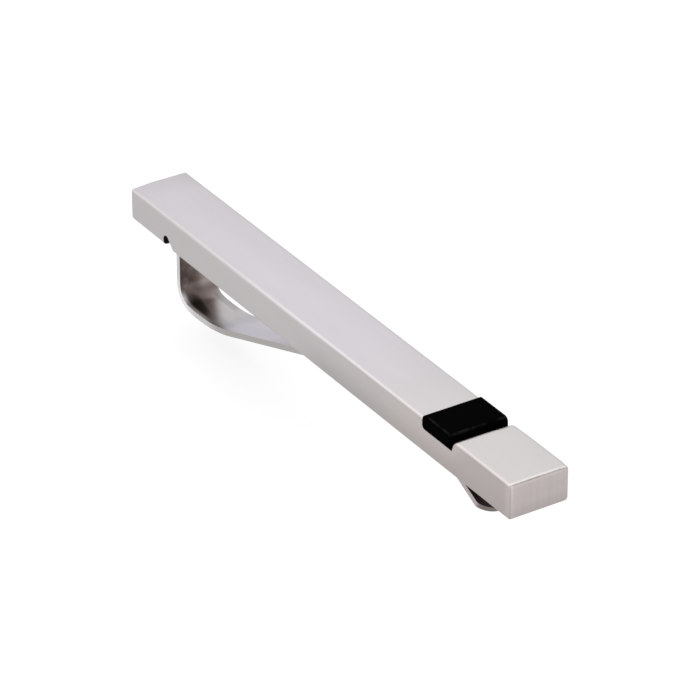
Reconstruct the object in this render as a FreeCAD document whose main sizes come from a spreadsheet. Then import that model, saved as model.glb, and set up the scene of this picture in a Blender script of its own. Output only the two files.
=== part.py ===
import FreeCAD, Part
import math
import os

import Sketcher

# Tie clip: a satin bar with a black block let into its top, and a bent spring strip under it.
# The origin is the centre of the bar's underside, the face that bears on the tie.
# +X runs along the bar to the strip's open end, +Z is the side that shows when the clip is worn.

DRIVING_SIZES = {
    # bar, drawn flat stock (millimetres, as are all lengths here)
    "bar_length": "55.0",
    "bar_width": "5.3",
    "bar_height": "3.0",
    "bar_edge_radius": "0.25",
    "bar_end_radius": "0.2",
    "bar_corner_radius": "0.28",
    "bar_heel_radius": "0.42",
    # channel across the bar's top, and the black block glued into it
    "inlay_setback": "7.6",
    "channel_length": "3.92",
    "channel_depth": "0.93",
    "channel_lean": "27.0",
    "channel_lip_radius": "0.8",
    "channel_corner_radius": "0.35",
    "inlay_length": "3.72",
    "inlay_proud": "0.24",
    "inlay_edge_radius": "0.25",
    "inlay_open_radius": "0.5",
    "glue_line": "0.05",
    "glue_setback": "0.45",
    "bead_depth": "0.8",
    "bead_rise": "0.18",
    # slot across the bar's underside that takes the strip's tang
    "leg_setback": "5.75",
    "slot_depth": "1.07",
    "slot_crest": "0.66",
    "slot_slant": "43.0",
    "slot_corner_radius": "0.5",
    "slot_shoulder_radius": "0.3",
    "solder_gap": "0.25",
    "tang_gap": "0.4",
    # spring strip: its section, then its bends from the leg to the tongue (angles in degrees)
    "strip_width": "3.2",
    "strip_thickness": "0.5",
    "strip_edge_radius": "0.1",
    "loop_depth": "5.62",
    "corner_radius": "1.58",
    "dip_angle": "3.0",
    "dip_straight": "0.2",
    "sweep_radius": "16.4",
    "ramp_angle": "18.5",
    "flex_offset": "0.5",
    "grip_gap": "0.05",
    "grip_bend_radius": "3.0",
    "flare_bend_radius": "2.2",
    "flare_angle": "25.4",
    "tip_setback": "4.94",
    "tip_depth": "2.63",
    "tongue_radius": "1.9",
    "tongue_slant": "50.0",
    "tongue_corner_radius": "0.45",
}

DERIVED_SIZES = {
    "bar_right": "bar_length / 2",
    "bar_left": "-bar_length / 2",
    "bar_front": "-bar_width / 2",
    "bar_back": "bar_width / 2",
    "bar_underside": "0",
    # channel and block
    "channel_right": "bar_right - inlay_setback",
    "channel_left": "channel_right - channel_length",
    "channel_floor": "bar_height - channel_depth",
    "inlay_left": "channel_left + glue_line",
    "inlay_right": "inlay_left + inlay_length",
    "inlay_floor": "channel_floor + glue_line",
    "inlay_top": "bar_height + inlay_proud",
    "inlay_corner_radius": "channel_corner_radius - glue_line",
    "glue_top": "bar_height - glue_setback",
    "bead_low": "bar_height - bead_depth",
    "bead_high": "bead_low + bead_rise",
    "bead_right": "channel_right + (bead_low - channel_floor) * tan(channel_lean)",
    "lip_x": "channel_right + channel_depth * tan(channel_lean)",
    "channel_mouth": "channel_right + (inlay_top - channel_floor) * tan(channel_lean)",
    # slot and tang
    "leg_x": "bar_left + leg_setback",
    "half_thickness": "strip_thickness / 2",
    "slot_left": "leg_x - half_thickness - solder_gap",
    "slot_shoulder": "slot_left + slot_crest",
    "slot_right": "slot_shoulder + slot_depth * tan(slot_slant)",
    "slot_mouth": "-slot_depth",
    "slot_mouth_right": "slot_right + slot_depth * tan(slot_slant)",
    "tang_top": "slot_depth - tang_gap",
    # bends of the strip's middle line, each named by the point where its two straight runs would cross
    "corner_tangent": "(corner_radius + half_thickness) * tan((90 - dip_angle) / 2)",
    "sweep_tangent": "(sweep_radius + half_thickness) * tan((dip_angle + ramp_angle) / 2)",
    "dip_run": "corner_tangent + dip_straight + sweep_tangent",
    "sweep_rise": "(sweep_radius + half_thickness) * (1 - cos(dip_angle)) - sweep_tangent * sin(dip_angle)",
    "sweep_x": "leg_x + dip_run * cos(dip_angle)",
    "sweep_z": "half_thickness - loop_depth + sweep_rise",
    "corner_z": "sweep_z + dip_run * sin(dip_angle)",
    "flex_x": "sweep_x + (sweep_tangent + flex_offset) * cos(ramp_angle)",
    "flex_z": "sweep_z + (sweep_tangent + flex_offset) * sin(ramp_angle)",
    "grip_z": "-grip_gap - half_thickness",
    "grip_x": "sweep_x + (grip_z - sweep_z) / tan(ramp_angle)",
    "tip_x": "bar_right - tip_setback + half_thickness * sin(flare_angle)",
    "tip_z": "half_thickness * cos(flare_angle) - tip_depth",
    "flare_x": "tip_x - (grip_z - tip_z) / tan(flare_angle)",
    "strip_front": "-strip_width / 2",
    "strip_back": "strip_width / 2",
    # end of the tongue, on the strip's own flared plane and measured from its tip
    "tongue_apex": "tongue_radius * (1 / cos(tongue_slant) - 1)",
    "tongue_middle": "0",
    "tongue_front": "-strip_width",
    "tongue_back": "strip_width",
    "tongue_heel": "tongue_apex - strip_width * tan(tongue_slant)",
    "tongue_beyond": "tongue_apex + strip_thickness",
    # the same bends on the far face of the strip
    "corner_far_radius": "corner_radius + strip_thickness",
    "sweep_far_radius": "sweep_radius + strip_thickness",
    "grip_far_radius": "grip_bend_radius + strip_thickness",
    "flare_far_radius": "flare_bend_radius + strip_thickness",
}

# Stations along the strip's middle line: place, heading and half of the turn made there.
# The inner face looks into the loop and at the bar, the outer face looks away from it.
STRIP_STATIONS = {
    "tang": ("leg_x", "tang_top", "-90", "0"),
    "corner": ("leg_x", "corner_z", "(-90 - dip_angle) / 2", "(90 - dip_angle) / 2"),
    "sweep": ("sweep_x", "sweep_z", "(ramp_angle - dip_angle) / 2", "(ramp_angle + dip_angle) / 2"),
    "flex": ("flex_x", "flex_z", "ramp_angle", "0"),
    "grip": ("grip_x", "grip_z", "ramp_angle / 2", "ramp_angle / 2"),
    "flare": ("flare_x", "grip_z", "-flare_angle / 2", "flare_angle / 2"),
    "tip": ("tip_x", "tip_z", "-flare_angle", "0"),
}
for station, (x, z, heading, half_turn) in STRIP_STATIONS.items():
    reach = f"half_thickness / cos({half_turn})"
    DERIVED_SIZES[f"{station}_inner_x"] = f"{x} - {reach} * sin({heading})"
    DERIVED_SIZES[f"{station}_inner_z"] = f"{z} + {reach} * cos({heading})"
    DERIVED_SIZES[f"{station}_outer_x"] = f"{x} + {reach} * sin({heading})"
    DERIVED_SIZES[f"{station}_outer_z"] = f"{z} - {reach} * cos({heading})"

doc = FreeCAD.newDocument("tie_clip")
sheet = doc.addObject("Spreadsheet::Sheet", "sizes")
for row, (alias, number) in enumerate(DRIVING_SIZES.items(), start=1):
    sheet.set(f"A{row}", number)
    sheet.setAlias(f"A{row}", alias)
for row, (alias, formula) in enumerate(DERIVED_SIZES.items(), start=1):
    sheet.set(f"B{row}", f"={formula}")
    sheet.setAlias(f"B{row}", alias)
doc.recompute()

TOUCH = 1e-4


def size(alias):
    """Present value of a cell."""
    return float(sheet.get(alias))


def bind(obj, prop, alias):
    """Tie a property of a feature or sketch to a cell."""
    obj.setExpression(prop, f"sizes.{alias}")


def new_body(label):
    body = doc.addObject("PartDesign::Body", label)
    body.Label = label
    return body


def new_sketch(body, name, role):
    """Sketch on one of the body's own origin planes."""
    sketch = body.newObject("Sketcher::SketchObject", name)
    plane = next(item for item in body.Origin.OriginFeatures if item.Role == role)
    sketch.AttachmentSupport = (plane, [""])
    sketch.MapMode = "FlatFace"
    return sketch


def pin_point(sketch, geometry, end, x, y):
    """Dimension a point of the sketch from its origin."""
    for kind, alias in (("DistanceX", x), ("DistanceY", y)):
        index = sketch.addConstraint(Sketcher.Constraint(kind, -1, 1, geometry, end, size(alias)))
        bind(sketch, f"Constraints[{index}]", alias)


def draw_outline(sketch, corners):
    """Closed outline through corners of (x, y) or (x, y, radius) cells; a radius rounds its corner."""
    points = [FreeCAD.Vector(size(corner[0]), size(corner[1]), 0) for corner in corners]
    arrive, leave, arcs = [], [], {}
    for index, corner in enumerate(corners):
        here = points[index]
        to_last = (points[index - 1] - here).normalize()
        to_next = (points[(index + 1) % len(points)] - here).normalize()
        if len(corner) == 2:
            arrive.append(here)
            leave.append(here)
            continue
        radius = size(corner[2])
        half = to_last.getAngle(to_next) / 2
        arrive.append(here + to_last * (radius / math.tan(half)))
        leave.append(here + to_next * (radius / math.tan(half)))
        centre = here + (to_last + to_next).normalize() * (radius / math.sin(half))
        left_turn = (-to_last).cross(to_next).z > 0
        start, stop = (arrive[-1], leave[-1]) if left_turn else (leave[-1], arrive[-1])
        angles = [math.atan2(point.y - centre.y, point.x - centre.x) for point in (start, stop)]
        circle = Part.Circle(centre, FreeCAD.Vector(0, 0, 1), radius)
        arcs[index] = (Part.ArcOfCircle(circle, *angles), left_turn)

    lines = []
    for index in range(len(corners)):
        side = Part.LineSegment(leave[index], arrive[(index + 1) % len(corners)])
        lines.append(sketch.addGeometry(side))
    for index, corner in enumerate(corners):
        last, following = lines[index - 1], lines[index]
        if index not in arcs:
            sketch.addConstraint(Sketcher.Constraint("Coincident", last, 2, following, 1))
            pin_point(sketch, following, 1, *corner)
            continue
        arc, left_turn = arcs[index]
        bend = sketch.addGeometry(arc)
        first, second = (1, 2) if left_turn else (2, 1)
        sketch.addConstraint(Sketcher.Constraint("Tangent", last, 2, bend, first))
        sketch.addConstraint(Sketcher.Constraint("Tangent", following, 1, bend, second))
        radius_index = sketch.addConstraint(Sketcher.Constraint("Radius", bend, size(corner[2])))
        bind(sketch, f"Constraints[{radius_index}]", corner[2])
        crossing = sketch.addGeometry(Part.Point(points[index]), True)
        pin_point(sketch, crossing, 1, *corner[:2])
        sketch.addConstraint(Sketcher.Constraint("PointOnObject", crossing, 1, last))
        sketch.addConstraint(Sketcher.Constraint("PointOnObject", crossing, 1, following))


def pad_across(body, name, corners, width):
    """Solid of a side-view outline, as wide as the named cell, centred across the bar."""
    sketch = new_sketch(body, f"{name}_outline", "XZ_Plane")
    draw_outline(sketch, corners)
    pad = body.newObject("PartDesign::Pad", name)
    pad.Profile = sketch
    pad.SideType = "Symmetric"
    bind(pad, "Length", width)
    doc.recompute()
    return pad


def cut_across(body, name, corners):
    """Cut of a side-view outline, right across the bar."""
    before = body.Shape.Volume
    sketch = new_sketch(body, f"{name}_outline", "XZ_Plane")
    draw_outline(sketch, corners)
    pocket = body.newObject("PartDesign::Pocket", name)
    pocket.Profile = sketch
    pocket.Type = "ThroughAll"
    pocket.SideType = "Symmetric"
    doc.recompute()
    if body.Shape.Volume > before - TOUCH:
        raise RuntimeError(f"{name} cuts nothing")


def round_edges(body, name, radius, wanted):
    """Fillet the edges of the body's present solid that the test picks by their end points."""
    base = body.Tip
    edges = []
    for index, edge in enumerate(base.Shape.Edges, start=1):
        ends = [vertex.Point for vertex in edge.Vertexes]
        if wanted(ends, edge.CenterOfMass):
            edges.append(f"Edge{index}")
    fillet = body.newObject("PartDesign::Fillet", name)
    fillet.Base = (base, edges)
    bind(fillet, "Radius", radius)
    doc.recompute()


def level(points, axis, *aliases):
    """True where all points lie at one of the named places along an axis (0 X, 1 Y, 2 Z)."""
    return any(all(abs(point[axis] - size(alias)) < TOUCH for point in points) for alias in aliases)


# Bar: flat stock with a channel milled across its top and a slot across its underside,
# then its edges broken and polished. The slot leans open towards the loop, and the channel's wall on the
# open side leans back and its lip is rubbed round.
bar = new_body("bar")
pad_across(bar, "stock", (
    ("bar_left", "bar_underside"),
    ("bar_right", "bar_underside"),
    ("bar_right", "bar_height"),
    ("bar_left", "bar_height"),
), "bar_width")
cut_across(bar, "inlay_channel", (
    ("channel_left", "channel_floor", "channel_corner_radius"),
    ("channel_right", "channel_floor"),
    ("channel_mouth", "inlay_top"),
    ("channel_left", "inlay_top"),
))
cut_across(bar, "tang_slot", (
    ("slot_left", "slot_mouth"),
    ("slot_mouth_right", "slot_mouth"),
    ("slot_shoulder", "slot_depth", "slot_shoulder_radius"),
    ("slot_left", "slot_depth", "slot_corner_radius"),
))
round_edges(bar, "channel_lip", "channel_lip_radius", lambda ends, middle: (
    level(ends, 0, "lip_x") and level(ends, 2, "bar_height")))
round_edges(bar, "left_corners", "bar_corner_radius", lambda ends, middle: (
    level(ends, 0, "bar_left") and level(ends, 1, "bar_front", "bar_back")))
round_edges(bar, "heel_edges", "bar_heel_radius", lambda ends, middle: (
    level(ends, 0, "bar_left") and level([middle], 2, "bar_underside")))
round_edges(bar, "long_edges", "bar_edge_radius", lambda ends, middle: (
    level(ends, 1, "bar_front", "bar_back") and level([middle], 2, "bar_underside", "bar_height")))
round_edges(bar, "end_edges", "bar_end_radius", lambda ends, middle: level(ends, 0, "bar_right"))

# Adhesive: a thin film under the block and up the closed wall, and a bead in the gap on the open side.
inlay_adhesive = new_body("inlay_adhesive")
pad_across(inlay_adhesive, "film", (
    ("channel_left", "glue_top"),
    ("channel_left", "channel_floor", "channel_corner_radius"),
    ("channel_right", "channel_floor"),
    ("bead_right", "bead_low"),
    ("inlay_right", "bead_high"),
    ("inlay_right", "inlay_floor"),
    ("inlay_left", "inlay_floor", "inlay_corner_radius"),
    ("inlay_left", "glue_top"),
), "bar_width")

# Black block: pushed to the closed wall, flush with the bar's sides and a little proud of its top.
black_inlay = new_body("black_inlay")
pad_across(black_inlay, "block", (
    ("inlay_left", "inlay_floor", "inlay_corner_radius"),
    ("inlay_right", "inlay_floor"),
    ("inlay_right", "inlay_top"),
    ("inlay_left", "inlay_top"),
), "bar_width")
round_edges(black_inlay, "open_edge", "inlay_open_radius", lambda ends, middle: (
    level(ends, 2, "inlay_top") and level(ends, 0, "inlay_right")))
round_edges(black_inlay, "crown", "inlay_edge_radius", lambda ends, middle: (
    level(ends, 2, "inlay_top") and (level(ends, 1, "bar_front", "bar_back") or level(ends, 0, "inlay_left"))))

# Spring strip, fixed stretch: tang in the slot, leg, tight corner and long sweep under the bar.
clip_root = new_body("clip_root")
pad_across(clip_root, "root_strip", (
    ("tang_outer_x", "tang_outer_z"),
    ("corner_outer_x", "corner_outer_z", "corner_far_radius"),
    ("sweep_outer_x", "sweep_outer_z", "sweep_far_radius"),
    ("flex_outer_x", "flex_outer_z"),
    ("flex_inner_x", "flex_inner_z"),
    ("sweep_inner_x", "sweep_inner_z", "sweep_radius"),
    ("corner_inner_x", "corner_inner_z", "corner_radius"),
    ("tang_inner_x", "tang_inner_z"),
), "strip_width")
round_edges(clip_root, "root_edges", "strip_edge_radius", lambda ends, middle: (
    level(ends, 1, "strip_front", "strip_back")
    and not level([middle], 2, "tang_top")
    and not level([middle], 0, "flex_x")))

# Spring strip, moving stretch: ramp up to the bar, flat grip along it, and a flared tongue
# whose end is cut to a shallow arc with its corners rubbed off.
clip_arm = new_body("clip_arm")
pad_across(clip_arm, "arm_strip", (
    ("flex_outer_x", "flex_outer_z"),
    ("grip_outer_x", "grip_outer_z", "grip_bend_radius"),
    ("flare_outer_x", "flare_outer_z", "flare_bend_radius"),
    ("tip_outer_x", "tip_outer_z"),
    ("tip_inner_x", "tip_inner_z"),
    ("flare_inner_x", "flare_inner_z", "flare_far_radius"),
    ("grip_inner_x", "grip_inner_z", "grip_far_radius"),
    ("flex_inner_x", "flex_inner_z"),
), "strip_width")
tongue_plan = new_sketch(clip_arm, "tongue_plan", "XY_Plane")
flare_turn = FreeCAD.Rotation(FreeCAD.Vector(0, 1, 0), size("flare_angle"))
tongue_plan.AttachmentOffset = FreeCAD.Placement(FreeCAD.Vector(size("tip_x"), 0, size("tip_z")), flare_turn)
bind(tongue_plan, "AttachmentOffset.Base.x", "tip_x")
bind(tongue_plan, "AttachmentOffset.Base.z", "tip_z")
bind(tongue_plan, "AttachmentOffset.Rotation.Angle", "flare_angle")
draw_outline(tongue_plan, (
    ("tongue_apex", "tongue_middle", "tongue_radius"),
    ("tongue_heel", "tongue_front"),
    ("tongue_beyond", "tongue_front"),
    ("tongue_beyond", "tongue_back"),
    ("tongue_heel", "tongue_back"),
))
tongue_end = clip_arm.newObject("PartDesign::Pocket", "tongue_end")
tongue_end.Profile = tongue_plan
tongue_end.SideType = "Symmetric"
bind(tongue_end, "Length", "strip_width")
doc.recompute()


def spans_thickness(ends):
    return abs((ends[0] - ends[-1]).Length - size("strip_thickness")) < TOUCH


round_edges(clip_arm, "tongue_corners", "tongue_corner_radius", lambda ends, middle: (
    spans_thickness(ends) and level(ends, 1, "strip_front", "strip_back") and middle.x > size("flare_x")))
round_edges(clip_arm, "arm_edges", "strip_edge_radius", lambda ends, middle: (
    not spans_thickness(ends)
    and (level(ends, 1, "strip_front", "strip_back") or middle.x > size("flare_x"))
    and not (level([middle], 1, "tongue_middle") and middle.x < size("tip_x") - size("strip_thickness"))))

# Brazing alloy: fills the slot round the tang, as wide as the strip.
clip_solder = new_body("clip_solder")
pad_across(clip_solder, "braze", (
    ("slot_left", "bar_underside"),
    ("tang_outer_x", "bar_underside"),
    ("tang_outer_x", "tang_top"),
    ("tang_inner_x", "tang_top"),
    ("tang_inner_x", "bar_underside"),
    ("slot_right", "bar_underside"),
    ("slot_shoulder", "slot_depth", "slot_shoulder_radius"),
    ("slot_left", "slot_depth", "slot_corner_radius"),
), "strip_width")

doc.recompute()
failed = [item.Label for item in doc.Objects if {"Invalid", "Error"} & set(item.State)]
if failed:
    raise RuntimeError(f"failed objects: {failed}")
pieces = (bar, black_inlay, inlay_adhesive, clip_root, clip_arm, clip_solder)
for piece in pieces:
    if piece.Shape.isNull() or not piece.Shape.isValid():
        raise RuntimeError(f"bad shape: {piece.Label}")

os.makedirs("parts", exist_ok=True)
for piece in pieces:
    piece.Shape.exportStep(f"parts/{piece.Label}.step")
    print(piece.Label, round(piece.Shape.Volume, 3))
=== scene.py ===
import math

import bmesh
import bpy
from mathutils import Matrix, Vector


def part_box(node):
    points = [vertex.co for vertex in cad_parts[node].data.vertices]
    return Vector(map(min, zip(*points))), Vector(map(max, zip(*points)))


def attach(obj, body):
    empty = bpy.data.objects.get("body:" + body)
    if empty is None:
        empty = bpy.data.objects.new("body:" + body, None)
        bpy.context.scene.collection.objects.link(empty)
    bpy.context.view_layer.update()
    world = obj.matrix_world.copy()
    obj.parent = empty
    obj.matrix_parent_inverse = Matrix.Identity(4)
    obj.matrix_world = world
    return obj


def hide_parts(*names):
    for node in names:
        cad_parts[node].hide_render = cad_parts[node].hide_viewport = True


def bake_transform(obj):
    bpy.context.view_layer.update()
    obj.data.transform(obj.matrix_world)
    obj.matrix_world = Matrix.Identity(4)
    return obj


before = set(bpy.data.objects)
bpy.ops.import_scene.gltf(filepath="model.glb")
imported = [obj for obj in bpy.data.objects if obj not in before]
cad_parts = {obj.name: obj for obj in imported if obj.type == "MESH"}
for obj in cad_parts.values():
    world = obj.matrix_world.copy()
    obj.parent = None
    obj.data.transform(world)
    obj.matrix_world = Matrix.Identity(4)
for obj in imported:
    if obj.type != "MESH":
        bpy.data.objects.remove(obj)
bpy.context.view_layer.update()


# Bar: a length of flat stainless stock, milled across its top for the black block and slotted underneath
# for the strip. It is satin finished along its length and ground across its ends, its long edges are broken
# and polished by handling, and its colour carries painted light, shade and highlights.
MM = 0.001


class Signal:
    """An output socket of a node tree; arithmetic on it adds Math nodes."""

    def __init__(self, socket):
        self.socket = socket
        self.tree = socket.id_data

    def node(self, kind, settings=None, inputs=None, output=0):
        """A new node of that kind: its settings first, then the values or links of its sockets."""
        made = self.tree.nodes.new(kind)
        for name, value in (settings or {}).items():
            setattr(made, name, value)
        for name, value in (inputs or {}).items():
            if isinstance(value, Signal):
                self.tree.links.new(value.socket, made.inputs[name])
            else:
                made.inputs[name].default_value = value
        return Signal(made.outputs[output])

    def maths(self, operation, *operands):
        return self.node("ShaderNodeMath", {"operation": operation}, dict(enumerate(operands)))

    def __add__(self, other):
        return self.maths("ADD", self, other)

    def __sub__(self, other):
        return self.maths("SUBTRACT", self, other)

    def __rsub__(self, other):
        return self.maths("SUBTRACT", other, self)

    def __mul__(self, other):
        return self.maths("MULTIPLY", self, other)

    def __truediv__(self, other):
        return self.maths("DIVIDE", self, other)

    def __abs__(self):
        return self.maths("ABSOLUTE", self)

    __radd__ = __add__
    __rmul__ = __mul__

    def at_least(self, other):
        return self.maths("MAXIMUM", self, other)

    def root(self):
        return self.maths("SQRT", self)

    def ramp(self, low, high):
        """0 at low, 1 at high and smooth between them."""
        limits = {"Value": self, "From Min": low, "From Max": high}
        return self.node("ShaderNodeMapRange", {"interpolation_type": "SMOOTHSTEP"}, limits)

    def band(self, start, full, fading, gone):
        """0 up to start, 1 from full to fading, 0 again past gone."""
        return self.ramp(start, full) * self.ramp(gone, fading)

    def axes(self):
        """The three parts of a vector."""
        parts = self.node("ShaderNodeSeparateXYZ", None, {"Vector": self}).socket.node
        return [Signal(socket) for socket in parts.outputs]

    def grain(self, scale, detail=2.0):
        """Noise from 0 to 1 at these coordinates, with its own scale along each axis."""
        spread = self.node("ShaderNodeVectorMath", {"operation": "MULTIPLY"}, {0: self, 1: scale})
        return spread.node("ShaderNodeTexNoise", None, {"Vector": spread, "Scale": 1.0, "Detail": detail})

    def between(self, first, second):
        """The first colour where this is 0, the second where it is 1."""
        mix = {"data_type": "RGBA", "clamp_factor": True}
        return self.node("ShaderNodeMix", mix, {0: self, 6: first, 7: second}, output=2)

    def scaled(self, strength):
        """This colour made lighter or darker, or this vector longer or shorter."""
        return self.node("ShaderNodeVectorMath", {"operation": "SCALE"}, {0: self, "Scale": strength})


class Finish:
    """A material with one Principled shader; plain numbers sit on its sockets, signals are fed to them."""

    def __init__(self, name, **sockets):
        self.material = bpy.data.materials.new(name)
        self.material.use_nodes = True
        self.nodes = self.material.node_tree.nodes
        self.shader = self.nodes["Principled BSDF"]
        for socket, value in sockets.items():
            self.shader.inputs[socket.replace("_", " ")].default_value = value
        coordinates = self.nodes.new("ShaderNodeTexCoord")
        self.at = Signal(coordinates.outputs["Object"])
        self.facing = Signal(coordinates.outputs["Normal"])

    def feed(self, **signals):
        for socket, signal in signals.items():
            self.material.node_tree.links.new(signal.socket, self.shader.inputs[socket.replace("_", " ")])

    def bump(self, height, strength, depth):
        lift = {"Strength": strength, "Distance": depth, "Height": height}
        self.feed(Normal=height.node("ShaderNodeBump", None, lift))


def plain_mesh(piece):
    """The mesh that a piece's modifiers give."""
    graph = bpy.context.evaluated_depsgraph_get()
    return bpy.data.meshes.new_from_object(
        piece.evaluated_get(graph), preserve_all_data_layers=True, depsgraph=graph)


def apply_modifiers(piece):
    mesh = plain_mesh(piece)
    piece.modifiers.clear()
    piece.data = mesh


def polished_copy(node, name, finish, hand_work=None):
    """A merged copy of a CAD node, worked by hand, smooth over its edges and flat on its faces."""
    weld = 0.0002 * MM
    crease = math.radians(50)
    shell = bmesh.new()
    shell.from_mesh(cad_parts[node].data)
    bmesh.ops.remove_doubles(shell, verts=shell.verts, dist=weld)
    if hand_work:
        hand_work(shell)
    for face in shell.faces:
        face.smooth = True
    for edge in shell.edges:
        edge.smooth = edge.is_manifold and edge.calc_face_angle() < crease
    mesh = bpy.data.meshes.new(name)
    shell.to_mesh(mesh)
    shell.free()
    if "custom_normal" in mesh.attributes:
        mesh.attributes.remove(mesh.attributes["custom_normal"])
    mesh.materials.clear()
    mesh.materials.append(finish.material)
    piece = bpy.data.objects.new(name, mesh)
    bpy.context.scene.collection.objects.link(piece)
    weighting = piece.modifiers.new("face_normals", "WEIGHTED_NORMAL")
    weighting.keep_sharp = True
    apply_modifiers(piece)
    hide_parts(node)
    return piece


bar_low, bar_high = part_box("bar")
# the steel's tints: the top and the sides are tinted apart as if lit differently, and turn warmer towards
# the open end as a painted warm light
top_cool = (0.478, 0.453, 0.478, 1)
top_warm = (0.480, 0.460, 0.456, 1)
side_cool = (0.482, 0.459, 0.462, 1)
side_warm = (0.482, 0.435, 0.424, 1)
slot_shade_black = (0.012, 0.010, 0.009, 1)
satin = Finish("satin_steel", Metallic=1.0)
along_bar, across_bar, up_bar = satin.at.axes()
# how far a point lies in from the bar's faces
from_end = bar_high.x - abs(along_bar)
from_open_end = bar_high.x - along_bar
from_side = bar_high.y - abs(across_bar)
from_far_side = bar_high.y - across_bar
from_front = across_bar - bar_low.y
from_top = bar_high.z - up_bar
upward = satin.facing.axes()[2].ramp(0.72, 0.95)
end_face = from_end.ramp(0.16 * MM, 0.06 * MM)
side_face = from_side.ramp(0.12 * MM, 0.02 * MM) * (1 - end_face)
long_lines = satin.at.grain((140.0, 5200.0, 5200.0))
end_lines = satin.at.grain((2400.0, 2600.0, 160.0))
brushing = long_lines + end_face * (end_lines - long_lines)
clouding = satin.at.grain((110.0, 330.0, 330.0), detail=3.0)
# painted light: the top's and the sides' tints turn warm towards the open end, the sides' over random
# clouding
top_colour = along_bar.ramp(4 * MM, 20 * MM).between(top_cool, top_warm)
side_colour = (along_bar.ramp(0.0, 24 * MM) + clouding * 0.5 - 0.25).between(side_cool, side_warm)
# painted shade: the whole bar darker towards the closed end, and the top darker towards the far side and
# along its far rim
closed_end_shade = along_bar.ramp(-4 * MM, bar_low.x)
closed_tail = along_bar.ramp(-24 * MM, -27 * MM)
far_half = across_bar.ramp(-1 * MM, bar_high.y)
top_far_rim = from_far_side.ramp(0.40 * MM, 0.15 * MM)
top_painted_shade = closed_tail * -0.06 - far_half * 0.045 - top_far_rim * 0.07
# painted light on the sides: painted shade low down and most at the open end past the block, and a painted
# highlight along the open end
open_end = (along_bar - up_bar).ramp(17.6 * MM, 20.0 * MM)
low_side = up_bar.ramp(2.6 * MM, 0.0) * along_bar.ramp(-3 * MM, 3 * MM)
end_painted_highlight = from_open_end.ramp(0.8 * MM, 0.1 * MM)
side_painted_light = 0.02 - open_end * 0.13 - low_side * (0.21 - open_end * 0.13) + end_painted_highlight * 0.12
# the ends: ground lines, with painted highlights along the top and towards the front and painted shade along
# the foot
end_top_highlight = up_bar.ramp(1.7 * MM, 2.4 * MM) * 0.03 + up_bar.ramp(2.5 * MM, 2.85 * MM) * 0.10
end_foot_shade = up_bar.ramp(1.3 * MM, 0.3 * MM) * 0.10
front_painted_highlight = from_front.ramp(0.9 * MM, 0.0) * 0.10
end_lines_and_painted_light = end_lines * 0.12 - 0.08 + end_top_highlight - end_foot_shade + front_painted_highlight
# the edges: polished by handling and painted with highlights, the front one most, with painted dark lines
# round the open end and painted shade along the foot
top_edge = from_top.ramp(0.28 * MM, 0.06 * MM)
front_edge = from_front.ramp(0.28 * MM, 0.08 * MM)
# a painted highlight along the top-front edge, stronger towards the open end
ridge = top_edge * front_edge * (0.07 + along_bar.ramp(-14 * MM, 8 * MM) * 0.21)
# a painted band just under that edge on the front: lighter towards the closed end, darker towards the open
# end
under_ridge = (from_top.ramp(0.38 * MM, 0.20 * MM) * from_front.ramp(0.12 * MM, 0.04 * MM)
               * (0.20 - along_bar.ramp(-3 * MM, 6 * MM) * 0.27))
# a painted highlight along the open end's top edge
end_rim_highlight = top_edge * from_open_end.ramp(0.34 * MM, 0.20 * MM) * 0.16
# fine dark broken lines painted as dark reflections along the open end's top and front edges, with a painted
# light line beside the front one
dash_breaks = satin.at.grain((100.0, 2500.0, 100.0)).ramp(0.40, 0.60)
far_dash_gain = across_bar.ramp(-1 * MM, 1 * MM) * 0.25
top_dark_dashes = from_top.band(0.01 * MM, 0.05 * MM, 0.08 * MM, 0.13 * MM) * dash_breaks * (0.22 + far_dash_gain)
front_dark_line = from_front.band(0.01 * MM, 0.06 * MM, 0.12 * MM, 0.17 * MM) * 0.14
front_light_line = (from_front.band(0.14 * MM, 0.20 * MM, 0.24 * MM, 0.40 * MM)
              * (0.04 + up_bar.ramp(1.2 * MM, 2.4 * MM) * 0.09))
edge_dark_lines = end_face * (top_dark_dashes + front_dark_line - front_light_line)
# painted shade along the rounded edges of the foot
round_rim = from_side.ramp(0.35 * MM, 0.15 * MM).at_least(from_end.ramp(0.30 * MM, 0.15 * MM))
foot_rim_shade = round_rim * up_bar.ramp(0.26 * MM, 0.08 * MM) * 0.14
edge_light = ridge + under_ridge + end_rim_highlight - edge_dark_lines - foot_rim_shade
# the steel's tone: random clouding and brushing, with painted shade towards the closed end and the painted
# light of each face and edge
steel_light = (0.90 + clouding * 0.08 + brushing * 0.06 - closed_end_shade * 0.06
               + upward * top_painted_shade + side_face * side_painted_light + end_face * end_lines_and_painted_light + edge_light)
# the top's and the sides' painted tints are mixed by facing
steel_colour = upward.between(side_colour, top_colour).scaled(steel_light)
# painted shade: the slot underneath, inside the bar's sides, is coloured black where it lies in shadow
slot_low, slot_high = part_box("clip_solder")
slot_margin = 0.06 * MM
slot_core = 0.02 * MM
slot_length = along_bar.band(
    slot_low.x - slot_margin, slot_low.x - slot_core, slot_high.x + slot_core, slot_high.x + slot_margin)
slot_height = up_bar.band(0.01 * MM, 0.12 * MM, slot_high.z + slot_core, slot_high.z + slot_margin)
in_slot = slot_length * slot_height * from_side.ramp(0.004 * MM, 0.05 * MM)
satin.feed(Base_Color=in_slot.between(steel_colour, slot_shade_black))
satin.feed(Roughness=0.30 + brushing * 0.10 - top_edge * front_edge * 0.06)
satin.bump(brushing, strength=0.10, depth=0.012 * MM)
# the channel's lip is rubbed over towards the block
channel_right = 19.90 * MM
lip_slack = 0.01 * MM
lip_end = 20.90 * MM
lip_draw = 0.19 * MM
worked_floor = 2.0 * MM
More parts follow.
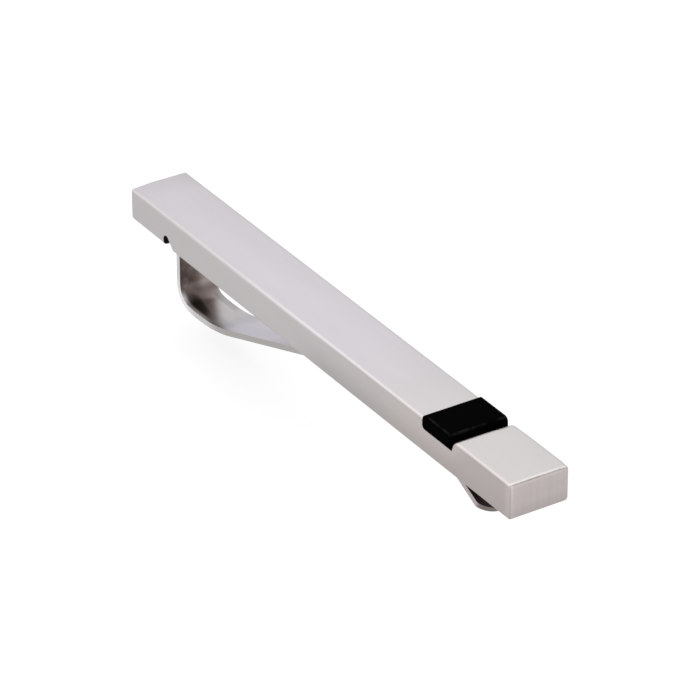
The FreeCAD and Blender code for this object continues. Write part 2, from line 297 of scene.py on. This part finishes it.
# three corners of the top are worn down on the wheel: the place, its depth and its reach
worn_corners = (
    (Vector((bar_low.x, bar_low.y)), 0.14 * MM, 1.9 * MM),
    (Vector((bar_high.x, bar_high.y)), 0.09 * MM, 1.0 * MM),
    (Vector((20.2 * MM, bar_high.y)), 0.07 * MM, 2.0 * MM),
)
worn_cuts = (-1.0, -0.65, -0.35, 0.35, 0.65, 1.0)
cut_slack = 0.0001 * MM


def worn_bar(shell):
    """Draw the lip towards the block, then lower each worn corner over its reach."""
    for vertex in shell.verts:
        if vertex.co.z > worked_floor and channel_right - lip_slack < vertex.co.x < lip_end:
            vertex.co.x = max(vertex.co.x - lip_draw, channel_right)
    for place, depth, reach in worn_corners:
        for direction in (Vector((1, 0, 0)), Vector((0, 1, 0))):
            for cut in worn_cuts:
                bmesh.ops.bisect_plane(
                    shell, geom=shell.verts[:] + shell.edges[:] + shell.faces[:], dist=cut_slack,
                    plane_co=place.to_3d() + direction * reach * cut, plane_no=direction)
        for vertex in shell.verts:
            near = max(1 - (vertex.co.to_2d() - place).length / reach, 0)
            high = max(vertex.co.z - worked_floor, 0) / (bar_high.z - worked_floor)
            vertex.co.z -= depth * near * high


bar = polished_copy("bar", "satin_bar", satin, worn_bar)
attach(bar, "bar_assembly")


# Adhesive: black-filled epoxy under the block and up the closed wall of its channel, with a bead in the
# gap on the open side. It is spread by hand and sets with a slightly uneven skin.
glue_black = (0.0008, 0.0008, 0.0008, 1)
glue_grey = (0.002, 0.002, 0.002, 1)
glue = Finish("black_epoxy", Specular_IOR_Level=0.0012)
skin = glue.at.grain((1500.0, 1500.0, 1500.0), detail=3.0)
glue.feed(Base_Color=skin.between(glue_black, glue_grey))
glue.feed(Roughness=0.35 + skin * 0.25)
glue.bump(skin, strength=0.2, depth=0.03 * MM)
glue_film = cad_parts["inlay_adhesive"].data
glue_film.materials.clear()
glue_film.materials.append(glue.material)


# Black block: a small block of black stone let into the bar's top, flush at the sides and a little proud
# above. Its edges are rounded by hand on a lap, most on the open side, and carry faint grey painted
# highlights.
stone_black = (0.0008, 0.0008, 0.0009, 1)
stone_highlight_grey = (0.010, 0.010, 0.011, 1)
block_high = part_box("black_inlay")[1]
stone = Finish("black_stone", Specular_IOR_Level=0.0012)
along_block, across_block, up_block = stone.at.axes()
block_polish = stone.at.grain((1300.0, 1300.0, 1300.0), detail=4.0)
# painted highlights: faint grey lines along the rounded top edges, broken by the polish grain
crown = (block_high.z - up_block).ramp(0.30 * MM, 0.10 * MM)
side_highlight_band = (block_high.y - abs(across_block)).band(0.02 * MM, 0.12 * MM, 0.16 * MM, 0.26 * MM)
open_highlight_band = (block_high.x - along_block).band(0.08 * MM, 0.22 * MM, 0.26 * MM, 0.40 * MM)
edge_painted_highlight = crown * side_highlight_band.at_least(open_highlight_band) * block_polish.ramp(0.35, 0.65)
stone.feed(Base_Color=edge_painted_highlight.between(stone_black, stone_highlight_grey))
stone.feed(Roughness=0.22 + block_polish * 0.16)
stone.bump(block_polish, strength=0.06, depth=0.01 * MM)
block = polished_copy("black_inlay", "black_block", stone)
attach(block, "bar_assembly")


# Brazing alloy: silver-coloured alloy run into the slot round the strip's tang. It is left as it set, dull
# with flux at the slot's open ends, and coloured far darker than the alloy as painted shade in the slot.
flux_black = (0.020, 0.018, 0.016, 1)
alloy_shade_grey = (0.09, 0.083, 0.075, 1)
braze = Finish("brazing_alloy", Metallic=1.0)
flux = braze.at.grain((2600.0, 2600.0, 2600.0), detail=4.0)
braze.feed(Base_Color=flux.between(flux_black, alloy_shade_grey))
braze.feed(Roughness=0.45 + flux * 0.3)
braze.bump(flux, strength=0.35, depth=0.05 * MM)
braze_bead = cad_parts["clip_solder"].data
braze_bead.materials.clear()
braze_bead.materials.append(braze.material)


# Spring strip: one length of polished spring steel with a tang in the bar's slot, a leg, a tight corner, a
# long sweep, a ramp up to the bar, a flat grip along it and a flared tongue cut to an arc. It is bent cold
# and tumbled bright, and its inside by the slot keeps the brown tint of the brazing heat, with painted
# shade.
arm_low, arm_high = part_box("clip_arm")
root_low, root_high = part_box("clip_root")
strip_width = arm_high.y - arm_low.y
strip_thickness = 0.5 * MM
tumbled_round = 0.1 * MM
# the shears spread its far edge a little
far_spread = 0.16 * MM
leg_x = root_low.x + strip_thickness / 2
leg_foot = -5.2458 * MM
corner_bend = 1.70 * MM
sweep_corner = Vector((-16.6593, 0, -5.5126)) * MM
sweep_bend = 16.65 * MM
ramp_angle = math.radians(18.5)
grip_z = -0.30 * MM
grip_bend = 3.25 * MM
flare_angle = math.radians(25.4)
flare_bend = 2.45 * MM
tip_middle = Vector((22.6672, 0, -2.4042)) * MM
grip_start = sweep_corner.x + (grip_z - sweep_corner.z) / math.tan(ramp_angle)
grip_end = tip_middle.x - (grip_z - tip_middle.z) / math.tan(flare_angle)
# the strip's middle line: where its straight runs would cross, and the bend there
strip_stations = (
    (leg_x, root_high.z, 0.0),
    (leg_x, leg_foot, corner_bend),
    (sweep_corner.x, sweep_corner.z, sweep_bend),
    (grip_start, grip_z, grip_bend),
    (grip_end, grip_z, flare_bend),
    (tip_middle.x, tip_middle.z, 0.0),
)
bend_steps = 48
width_steps = 29
strip_line = bpy.data.curves.new("strip_line", "CURVE")
strip_line.dimensions = "3D"
line_points = strip_line.splines.new("POLY").points
line_points.add(len(strip_stations) - 1)
for point, (station_x, station_z, station_bend) in zip(line_points, strip_stations):
    point.co = (station_x, far_spread / 2, station_z, 1.0)
    point.radius = station_bend
bent_line = bpy.data.objects.new("strip_line", strip_line)
bpy.context.scene.collection.objects.link(bent_line)

strip_sizes = {
    "Width": strip_width + far_spread,
    "Spacing": 0.14 * MM,
    "Tongue Radius": 1.9 * MM,
    "Tongue Corner": 0.45 * MM,
    "Tongue Reach": 3.0 * MM,
}
strip_form = bpy.data.node_groups.new("strip_form", "GeometryNodeTree")
strip_form.interface.new_socket("Line", in_out="INPUT", socket_type="NodeSocketGeometry")
size_sockets = {}
for label in strip_sizes:
    size_sockets[label] = strip_form.interface.new_socket(
        label, in_out="INPUT", socket_type="NodeSocketFloat")
finish_socket = strip_form.interface.new_socket(
    "Finish", in_out="INPUT", socket_type="NodeSocketMaterial")
strip_form.interface.new_socket("Strip", in_out="OUTPUT", socket_type="NodeSocketGeometry")
given = strip_form.nodes.new("NodeGroupInput")
width, spacing, arc_radius, corner_radius, tongue_reach = (
    Signal(given.outputs[label]) for label in strip_sizes)


def keep(geometry, label, value, kind="FLOAT"):
    """The geometry with a value stored on its points."""
    stored = {"Geometry": geometry, "Name": label, "Value": value}
    return geometry.node("GeometryNodeStoreNamedAttribute", {"data_type": kind, "domain": "POINT"}, stored)


middle = Signal(given.outputs["Line"])
bend = middle.node("GeometryNodeInputRadius")
middle = middle.node("GeometryNodeFilletCurve", {"mode": "POLY"}, {
    "Curve": middle, "Count": bend_steps, "Radius": bend})
middle = middle.node("GeometryNodeResampleCurve", {"mode": "LENGTH"}, {"Curve": middle, "Length": spacing})
middle = middle.node("GeometryNodeSetCurveRadius", None, {"Curve": middle, "Radius": 1.0})
middle = middle.node("GeometryNodeSetCurveNormal", {"mode": "FREE"}, {"Curve": middle, "Normal": (0, 1, 0)})
reached = middle.node("GeometryNodeSplineParameter", output="Length")
whole = middle.node("GeometryNodeSplineLength", output="Length")
heading = middle.node("GeometryNodeInputTangent")
middle = keep(middle, "along", reached)
middle = keep(middle, "to_tip", whole - reached)
middle = keep(middle, "heading", heading, "FLOAT_VECTOR")

# the strip's width is sampled closer towards its edges, where the tongue turns its corners
across = middle.node("GeometryNodeCurvePrimitiveLine", {"mode": "POINTS"}, {
    "Start": (-1, 0, 0), "End": (1, 0, 0)})
across = across.node("GeometryNodeResampleCurve", {"mode": "COUNT"}, {"Curve": across, "Count": width_steps})
place_across = across.node("GeometryNodeInputPosition").axes()[0]
quarter_turn = place_across * (math.pi / 2)
new_place = quarter_turn.maths("SINE", quarter_turn) * width / 2
new_place = new_place.node("ShaderNodeCombineXYZ", None, {"X": new_place})
across = across.node("GeometryNodeSetPosition", None, {"Geometry": across, "Position": new_place})
across = keep(across, "across", place_across)
ribbon = middle.node("GeometryNodeCurveToMesh", None, {"Curve": middle, "Profile Curve": across})


def kept(label, kind="FLOAT"):
    """A value that was stored on the ribbon's points."""
    return ribbon.node("GeometryNodeInputNamedAttribute", {"data_type": kind}, {"Name": label})


# the tongue's end: an arc across the strip that runs into its sides by small rounded corners
off_middle = abs(kept("across"))
arc_back = arc_radius - (arc_radius * arc_radius - off_middle * off_middle).root()
inset = width / 2 - corner_radius
spare = arc_radius - corner_radius
corner_depth = arc_radius - (spare * spare - inset * inset).root()
past = (off_middle - inset).at_least(0.0)
corner_back = corner_depth - (corner_radius * corner_radius - past * past).at_least(0.0).root()
in_corner = off_middle.maths("GREATER_THAN", off_middle, inset * arc_radius / spare)
drawn_back = arc_back + in_corner * (corner_back - arc_back)
ease = (1 - kept("to_tip") / tongue_reach).ramp(0.0, 1.0)
shift = kept("heading", "FLOAT_VECTOR").scaled(-1 * (drawn_back * ease))
ribbon = ribbon.node("GeometryNodeSetPosition", None, {"Geometry": ribbon, "Offset": shift})
ribbon = ribbon.node("GeometryNodeRealizeInstances", None, {"Geometry": ribbon})
ribbon = ribbon.node("GeometryNodeSetMaterial", None, {
    "Geometry": ribbon, "Material": Signal(given.outputs["Finish"])})
formed = strip_form.nodes.new("NodeGroupOutput")
strip_form.links.new(ribbon.socket, formed.inputs["Strip"])

spring = Finish("spring_steel", Metallic=1.0)
bending = bent_line.modifiers.new("form", "NODES")
bending.node_group = strip_form
for label, size in strip_sizes.items():
    bending[size_sockets[label].identifier] = size
bending[finish_socket.identifier] = spring.material
strip = bpy.data.objects.new("spring_strip", plain_mesh(bent_line))
bpy.data.objects.remove(bent_line)
bpy.context.scene.collection.objects.link(strip)
thickening = strip.modifiers.new("thickness", "SOLIDIFY")
thickening.thickness = strip_thickness
thickening.offset = 0.0
thickening.use_even_offset = True
apply_modifiers(strip)
for face in strip.data.polygons:
    face.use_smooth = True
tumbling = strip.modifiers.new("tumbled_edges", "BEVEL")
tumbling.width = tumbled_round
tumbling.segments = 3
tumbling.limit_method = "ANGLE"
tumbling.angle_limit = math.radians(60)
tumbling.harden_normals = True
apply_modifiers(strip)

along_strip = spring.at.node("ShaderNodeAttribute", {"attribute_name": "along"}, None, output="Fac")
across_strip = spring.at.axes()[1]
facing_x, facing_y, facing_z = spring.facing.axes()
inside = (facing_x + facing_z).ramp(0.25, 0.75)
sides = abs(facing_y).ramp(0.5, 0.8)
mottle = spring.at.grain((700.0, 900.0, 900.0), detail=4.0)
smudges = spring.at.grain((260.0, 420.0, 420.0), detail=2.0)
polish_lines = spring.at.grain((260.0, 6500.0, 260.0))
# the face: grey on the sweep over soft smudges, with painted shade where it runs into the ramp and along the
# far side, and a faintly violet painted reflection on from the ramp
sweep_grey = (0.366, 0.348, 0.355, 1)
violet_reflection = (0.366, 0.346, 0.400, 1)
face_colour = along_strip.ramp(10.5 * MM, 13.5 * MM).between(sweep_grey, violet_reflection)
kink_place = 11.8 * MM
kink_reach = 1.9 * MM
kink_shade = (1 - abs(along_strip - kink_place) / kink_reach).ramp(0.0, 1.0)
kink_shade_depth = 0.11 + across_strip.ramp(0.4 * MM, -0.8 * MM) * 0.12
far_side_shade = across_strip.ramp(0.2 * MM, 1.0 * MM)
# painted shadow: a dark band along the far edge where it passes under the bar
far_shade = (across_strip.ramp(1.0 * MM, 1.25 * MM)
             * along_strip.band(5.8 * MM, 6.6 * MM, 9.0 * MM, 10.4 * MM))
face_light = 0.75 + smudges * 0.50 - kink_shade * kink_shade_depth - far_side_shade * 0.06 - far_shade * 0.22
strip_colour = face_colour.scaled(face_light)
# the edges: sheared and tumbled, with painted light: lighter on the leg than on the ramp, a painted
# highlight round the corner below the leg, and painted shade on the outer faces before the ramp
leg_edge = (0.530, 0.521, 0.535, 1)
ramp_edge = (0.378, 0.358, 0.344, 1)
edge_colour = along_strip.ramp(9.3 * MM, 11.6 * MM).between(leg_edge, ramp_edge)
corner_edge_highlight = along_strip.band(3.2 * MM, 5.4 * MM, 6.2 * MM, 8.2 * MM)
strip_colour = sides.between(strip_colour, edge_colour.scaled(1 + corner_edge_highlight * 0.38))
outer_face_shade = (facing_x + facing_z).ramp(-0.1, -0.6) * along_strip.ramp(13 * MM, 11 * MM)
strip_colour = strip_colour.scaled(1 - outer_face_shade * 0.25)
# the tongue: a warm tint on its edges, painted shade on its cut end and under rim, and a painted dark
# reflection on its inside where it faces the bar
tongue = along_strip.ramp(43.0 * MM, 45.5 * MM)
tongue_edge = (0.410, 0.357, 0.356, 1)
cut_end_shade = (0.185, 0.160, 0.152, 1)
inside_dark_reflection = (0.110, 0.087, 0.081, 1)
under_rim_shade = (0.080, 0.066, 0.062, 1)
under_rim = facing_z.ramp(-0.45, -0.75) * facing_x.ramp(0.0, 0.4)
strip_colour = (tongue * sides).between(strip_colour, tongue_edge)
strip_colour = (tongue * facing_x.ramp(0.2, 0.6)).between(strip_colour, cut_end_shade)
strip_colour = (tongue * facing_z.ramp(0.15, 0.5)).between(strip_colour, inside_dark_reflection)
strip_colour = (tongue * under_rim).between(strip_colour, under_rim_shade)


def soft_spot(middle_along, middle_across, slant, half_length, half_width):
    """1 in the middle of a slanting oval patch of the strip, 0 outside it."""
    aside = across_strip - middle_across
    share_along = (along_strip + aside * slant - middle_along) / half_length
    share_across = aside / half_width
    return 1 - (share_along * share_along + share_across * share_across + mottle * 1.2 - 0.6).ramp(0.15, 1.3)


# the heat tint, darkened with painted shade: from the slot down the leg and round the corner, ending
# slantwise on the sweep; it is paler on the far side, darker where the painted shadow band runs, with one
# dark painted patch and one paler patch on the near side
near_dark = (0.130, 0.104, 0.095, 1)
near_light = (0.235, 0.190, 0.174, 1)
far_pale = (0.400, 0.335, 0.318, 1)
far_dark = (0.225, 0.184, 0.173, 1)
dark_patch_black = (0.042, 0.031, 0.028, 1)
pale_patch_colour = (0.330, 0.280, 0.265, 1)
heat_tint_and_shade = inside * (1 - (along_strip + across_strip * 1.25).ramp(7.1 * MM, 9.6 * MM))
near_brown = mottle.ramp(0.3, 0.7).between(near_dark, near_light)
far_brown = along_strip.ramp(4.6 * MM, 5.8 * MM).between(far_pale, far_dark)
heat_tint_and_shade_colour = across_strip.ramp(-0.3 * MM, 0.7 * MM).between(near_brown, far_brown)
heat_tint_and_shade_colour = heat_tint_and_shade_colour.scaled(1 - far_shade * 0.45)
painted_dark_patch = soft_spot(
    middle_along=7.05 * MM, middle_across=-0.80 * MM, slant=0.6,
    half_length=1.75 * MM, half_width=0.62 * MM)
heat_tint_and_shade_colour = painted_dark_patch.between(heat_tint_and_shade_colour, dark_patch_black)
pale_patch = soft_spot(
    middle_along=4.3 * MM, middle_across=-1.15 * MM, slant=0.0,
    half_length=0.55 * MM, half_width=0.42 * MM)
heat_tint_and_shade_colour = pale_patch.between(heat_tint_and_shade_colour, pale_patch_colour)
strip_colour = heat_tint_and_shade.between(strip_colour, heat_tint_and_shade_colour)
# a painted highlight along the near edge round the corner, laid over the tint
highlight_white = (0.950, 0.920, 0.930, 1)
near_edge_highlight = (inside * across_strip.ramp(-1.12 * MM, -1.50 * MM)
            * along_strip.band(4.8 * MM, 5.8 * MM, 8.8 * MM, 10.6 * MM))
spring.feed(Base_Color=near_edge_highlight.between(strip_colour, highlight_white))
spring.feed(Roughness=0.27 + polish_lines * 0.10 + heat_tint_and_shade * 0.08)
spring.bump(polish_lines, strength=0.05, depth=0.01 * MM)
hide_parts("clip_root", "clip_arm")
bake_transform(strip)


# Studio: a plain pale floor under the clip and soft white light from all round, stronger from the left and
# overhead and weaker from the far right. The floor is seen white and keeps the clip's soft shadow.
floor_reach = 2.0
# low enough to clear the tongue when the strip is opened all the way
tongue_drop = 2.1 * MM
floor_z = root_low.z - tongue_drop
paper_grey = (0.30, 0.30, 0.30, 1)
paper_glow = 0.74
white = (1, 1, 1, 1)
floor_corners = [
    (-floor_reach, -floor_reach, floor_z),
    (floor_reach, -floor_reach, floor_z),
    (floor_reach, floor_reach, floor_z),
    (-floor_reach, floor_reach, floor_z),
]
floor_mesh = bpy.data.meshes.new("floor")
floor_mesh.from_pydata(floor_corners, [], [(0, 1, 2, 3)])
floor = bpy.data.objects.new("floor", floor_mesh)
bpy.context.scene.collection.objects.link(floor)
paper = bpy.data.materials.new("white_paper")
paper.use_nodes = True
paper.node_tree.nodes.clear()
light_path = paper.node_tree.nodes.new("ShaderNodeLightPath")
seen = Signal(light_path.outputs["Is Camera Ray"])
for ray in ("Is Glossy Ray", "Is Transmission Ray"):
    seen = seen.at_least(Signal(light_path.outputs[ray]))
matt = seen.node("ShaderNodeBsdfDiffuse", None, {"Color": paper_grey})
glow = seen.node("ShaderNodeEmission", None, {"Color": white, "Strength": seen * paper_glow})
lit = seen.node("ShaderNodeAddShader", None, {0: matt, 1: glow})
below = seen.node("ShaderNodeNewGeometry", output="Backfacing")
clear = seen.node("ShaderNodeBsdfTransparent")
paper_surface = seen.node("ShaderNodeMixShader", None, {0: below, 1: lit, 2: clear})
paper_output = paper.node_tree.nodes.new("ShaderNodeOutputMaterial")
paper.node_tree.links.new(paper_surface.socket, paper_output.inputs["Surface"])
floor_mesh.materials.append(paper)

world = bpy.data.worlds.new("studio")
bpy.context.scene.world = world
world.use_nodes = True
background = world.node_tree.nodes["Background"]
background.inputs["Color"].default_value = white
sky = Signal(world.node_tree.nodes.new("ShaderNodeTexCoord").outputs["Generated"])


def soft_patch(direction, inner, outer):
    """1 within an angle of a direction in the sky, 0 past a wider one (degrees)."""
    toward = sky.node("ShaderNodeVectorMath", {"operation": "DOT_PRODUCT"}, {
        0: sky, 1: Vector(direction).normalized()}, output="Value")
    return toward.ramp(math.cos(math.radians(outer)), math.cos(math.radians(inner)))


left = soft_patch((-0.73, -0.02, 0.68), inner=32, outer=62)
overhead = soft_patch((0.00, 0.40, 0.90), inner=14, outer=40)
far_right = soft_patch((0.73, 0.47, 0.45), inner=10, outer=28)
studio_light = 0.95 + left * 0.50 + overhead * 0.45 - far_right * 0.35
world.node_tree.links.new(studio_light.socket, background.inputs["Strength"])


# Camera: the photograph's viewing angle, near the bar's open end, to its front and above, with a long lens
# that is aimed a little right of the bar's middle and below it.
azimuth = math.radians(57.429)
elevation = math.radians(30.085)
distance = 325.673 * MM
aim_right = 0.9934 * MM
aim_down = 1.1658 * MM
back = Vector((
    math.sin(azimuth) * math.cos(elevation),
    -math.cos(azimuth) * math.cos(elevation),
    math.sin(elevation),
))
right = Vector((math.cos(azimuth), math.sin(azimuth), 0))
up = back.cross(right)
aim = (bar_low + bar_high) / 2 + right * aim_right - up * aim_down
lens = bpy.data.cameras.new("camera")
lens.sensor_width = 36.0
lens.lens = 215.387
lens.clip_start = 10 * MM
camera = bpy.data.objects.new("camera", lens)
bpy.context.scene.collection.objects.link(camera)
camera.location = aim + back * distance
camera.rotation_mode = "QUATERNION"
camera.rotation_quaternion = (-back).to_track_quat("-Z", "Y")
bpy.context.scene.camera = camera
bpy.context.scene.view_settings.view_transform = "Standard"
